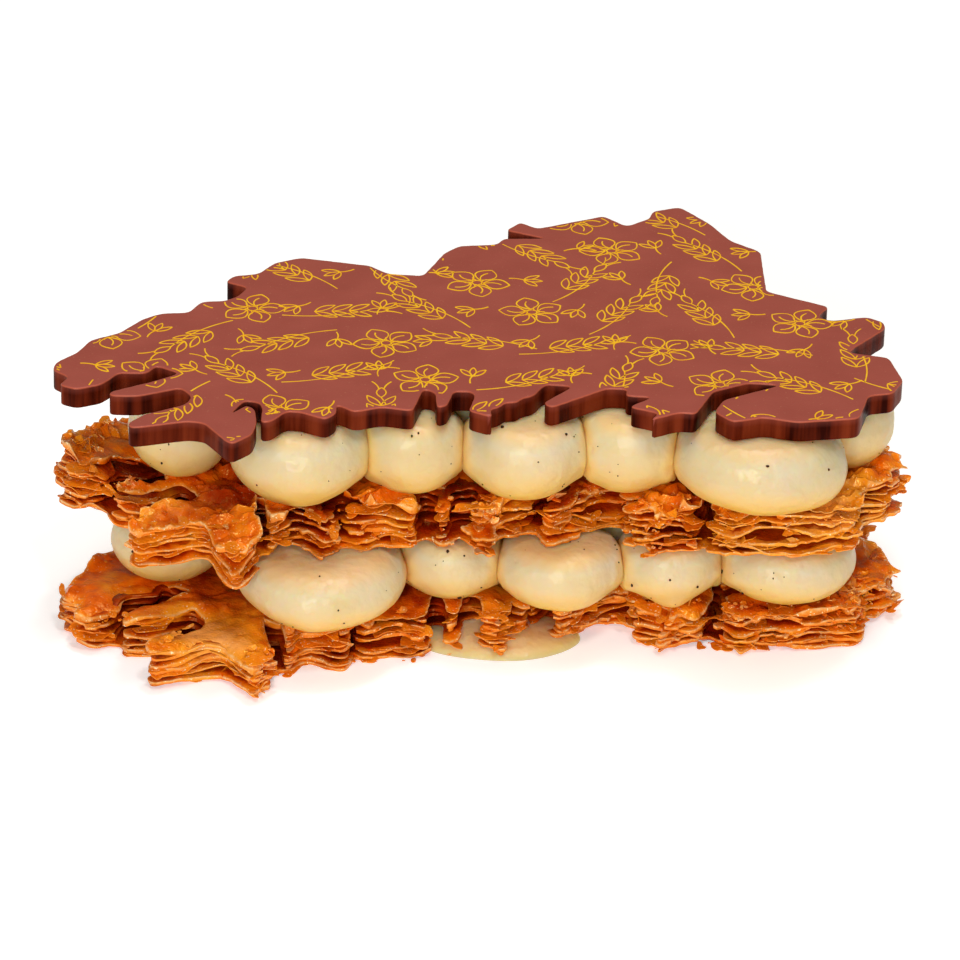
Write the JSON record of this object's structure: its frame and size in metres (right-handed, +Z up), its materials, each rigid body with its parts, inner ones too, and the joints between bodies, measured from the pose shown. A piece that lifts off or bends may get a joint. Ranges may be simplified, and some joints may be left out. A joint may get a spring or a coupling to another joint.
{
  "type": "mille-feuille",
  "caption": "Layered puff pastry cake with two layers of piped cream balls and a thin chocolate plate on top, all cut to one ragged coast-like outline.",
  "frame": {"origin": "under the middle of the whole cake, on the surface that it rests on", "axes": "+X along the long side, to the right seen from the front; +Y from the front to the rear; +Z up"},
  "size_m": [0.1416, 0.104, 0.044],
  "materials": {
    "chocolate": "satin milk chocolate",
    "pastry": "glazed flaky puff pastry",
    "cream": "smooth vanilla cream"
  },
  "bodies": {
    "root": {"chocolate_plate": "chocolate", "pastry_middle": "pastry", "pastry_bottom": "pastry", "cream_dab": "cream", "lower_cream_ball_01": "cream", "lower_cream_ball_02": "cream", "lower_cream_ball_03": "cream", "lower_cream_ball_04": "cream", "lower_cream_ball_05": "cream", "lower_cream_ball_06": "cream", "lower_cream_ball_07": "cream", "lower_cream_ball_08": "cream", "lower_cream_ball_09": "cream", "lower_cream_ball_10": "cream", "lower_cream_ball_11": "cream", "lower_cream_ball_12": "cream", "lower_cream_ball_13": "cream", "lower_cream_ball_14": "cream", "lower_cream_core": "cream", "upper_cream_ball_01": "cream", "upper_cream_ball_02": "cream", "upper_cream_ball_03": "cream", "upper_cream_ball_04": "cream", "upper_cream_ball_05": "cream", "upper_cream_ball_06": "cream", "upper_cream_ball_07": "cream", "upper_cream_ball_08": "cream", "upper_cream_ball_09": "cream", "upper_cream_ball_10": "cream", "upper_cream_ball_11": "cream", "upper_cream_ball_12": "cream", "upper_cream_ball_13": "cream", "upper_cream_ball_14": "cream", "upper_cream_ball_15": "cream", "upper_cream_core": "cream"}
  },
  "joints": []
}
